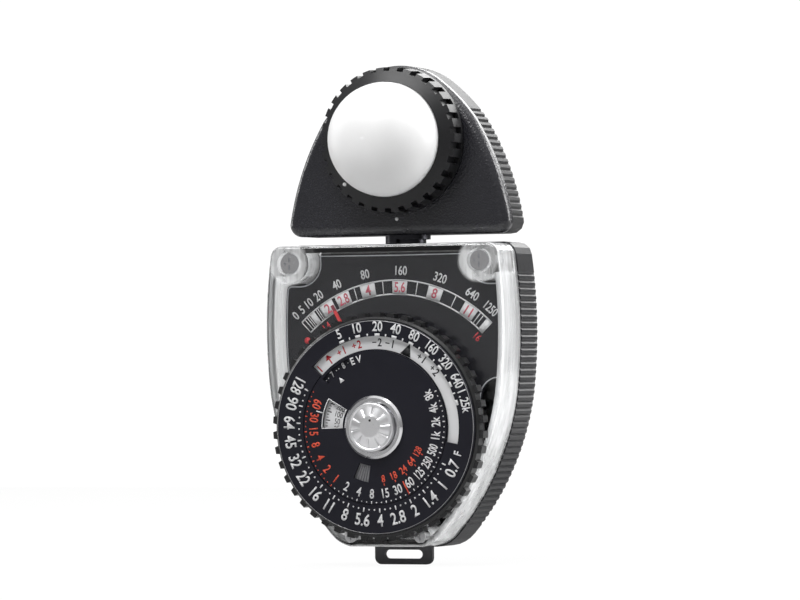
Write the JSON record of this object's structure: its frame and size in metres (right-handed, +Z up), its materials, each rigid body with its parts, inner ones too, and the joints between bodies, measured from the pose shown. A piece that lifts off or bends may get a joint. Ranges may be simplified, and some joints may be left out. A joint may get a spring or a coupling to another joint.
{
  "type": "handheld light meter",
  "caption": "Handheld incident light meter: swivelling head with a white diffuser dome over a black case with a clear-windowed needle scale and a large calculator dial.",
  "frame": {"origin": "bottom centre of the bounding box, at the tip of the strap lug with the meter upright", "axes": "+Z up the meter, -Y towards the reader (dial and dome face -Y), +X to the reader's right"},
  "size_m": [0.0582, 0.0326, 0.112],
  "materials": {
    "case_black": "satin black with a fine grain",
    "clear_acrylic": "clear, polished",
    "plate_charcoal": "matt charcoal, printed",
    "screw_chrome": "bright",
    "lug_steel": "dark",
    "inner_steel": "plain",
    "inner_brass": "plain",
    "inner_alloy": "plain",
    "inner_iron": "plain",
    "neck_alloy": "black anodised",
    "head_gloss": "glossy black with a fine grain",
    "ring_black": "satin black",
    "dome_white": "milky white, translucent",
    "inner_plastic": "plain black",
    "filter": "green tinted",
    "cell": "dark blue",
    "lead_red_black": "insulated wire",
    "dial_black": "satin black, printed",
    "grip_black": "satin black",
    "film_white": "white, printed",
    "rib_grey": "satin grey",
    "bezel_chrome": "bright",
    "button_silver": "satin",
    "coil_copper": "wound copper wire",
    "needle_red": "red",
    "pad_felt": "felt",
    "jewel_red": "polished",
    "board_green": "circuit board",
    "resistor_tan": "plain"
  },
  "bodies": {
    "case": {"rear_case": "case_black", "front_cover": "clear_acrylic", "scale_plate": "plate_charcoal", "cover_screws": "screw_chrome", "foot_screws": "inner_steel", "strap_lug": "lug_steel", "neck_bush": "inner_brass", "neck_washer": "inner_steel", "swivel_stop_pin": "inner_steel", "small_screws": "inner_steel", "circuit_board": "board_green", "resistors": "resistor_tan", "contact_brushes": "inner_brass", "movement_frame": "inner_alloy", "yoke_ring": "inner_iron", "magnet_core": "inner_iron", "core_spacers": "inner_brass", "front_bridge": "inner_alloy", "bridge_pillars": "inner_brass", "movement_screws": "inner_steel", "jewel_bearings": "jewel_red", "brake_pin": "inner_steel", "dial_hub": "inner_brass", "hub_spacer": "inner_plastic", "dial_washer": "inner_steel", "hub_nut": "inner_brass", "button_bezel": "bezel_chrome", "speed_scale_disc": "dial_black", "button_spring": "inner_steel"},
    "head": {"head_front_shell": "head_gloss", "head_rear_shell": "case_black", "head_screws": "inner_steel", "swivel_neck": "neck_alloy", "neck_clip": "inner_steel", "neck_plate": "inner_alloy", "neck_screws": "inner_steel", "slip_rings": "inner_brass", "cell_frame": "inner_plastic", "filter_glass": "filter", "photocell": "cell", "cell_retainer": "inner_plastic", "cell_contacts": "inner_brass", "cell_leads": "lead_red_black"},
    "diffuser": {"diffuser_dome": "dome_white", "diffuser_ring": "ring_black"},
    "dial": {"serrated_ring": "grip_black", "outer_scale_disc": "dial_black"},
    "film": {"film_speed_disc": "film_white", "film_thumb_ribs": "rib_grey"},
    "plunger": {"stop_rod": "inner_steel"},
    "button": {"stop_button": "button_silver"},
    "needle_set": {"needle": "needle_red", "moving_coil": "coil_copper", "pivot_staffs": "inner_steel", "needle_counterweight": "inner_brass", "hairsprings": "inner_brass"},
    "brake": {"brake_lever": "inner_steel", "brake_pad": "pad_felt"},
    "zero_adjuster": {"zero_screw": "inner_brass"},
    "zero_arm": {"zero_lever": "inner_steel"}
  },
  "joints": [
    {"name": "head_swivel", "type": "hinge", "parent": "case", "child": "head", "pos_m": [0, 0.0092, 0.073], "axis": [0, 0, 1], "range_deg": [-90, 180]},
    {"name": "diffuser_turn", "type": "hinge", "parent": "head", "child": "diffuser", "pos_m": [0, 0, 0.0951], "axis": [0, 1, 0], "range_deg": [-45, 0]},
    {"name": "dial_turn", "type": "hinge", "parent": "case", "child": "dial", "pos_m": [0, 0, 0.031], "axis": [0, 1, 0], "continuous": true},
    {"name": "film_speed_turn", "type": "hinge", "parent": "case", "child": "film", "pos_m": [0, 0, 0.031], "axis": [0, 1, 0], "range_deg": [-32, 32]},
    {"name": "button_press", "type": "slide", "parent": "case", "child": "plunger", "axis": [0, 1, 0], "range_m": [0, 0.0012], "stiffness_N_per_m": 400, "springref_m": -0.002, "deforming": ["button_spring"]},
    {"name": "button_turn", "type": "hinge", "parent": "plunger", "child": "button", "pos_m": [0, 0, 0.031], "axis": [0, 1, 0], "range_deg": [0, 30]},
    {"name": "needle_swing", "type": "hinge", "parent": "case", "child": "needle_set", "pos_m": [0, 0, 0.031], "axis": [0, 1, 0], "range_deg": [-15.6, 74.2]},
    {"name": "brake_rock", "type": "hinge", "parent": "case", "child": "brake", "pos_m": [0, -0.002, 0.0375], "axis": [1, 0, 0], "range_deg": [0, 7.06]},
    {"name": "zero_screw_turn", "type": "hinge", "parent": "case", "child": "zero_adjuster", "pos_m": [0, 0, 0.018], "axis": [0, 1, 0], "range_deg": [-40, 40]},
    {"name": "zero_lever_turn", "type": "hinge", "parent": "case", "child": "zero_arm", "pos_m": [0, 0, 0.031], "axis": [0, 1, 0], "range_deg": [-3.34, 3.34]}
  ],
  "couplings": [
    {"joint": "brake_rock", "follows": "button_press", "rad_per_m": 102.56},
    {"joint": "zero_lever_turn", "follows": "zero_screw_turn", "ratio": -0.083333}
  ]
}
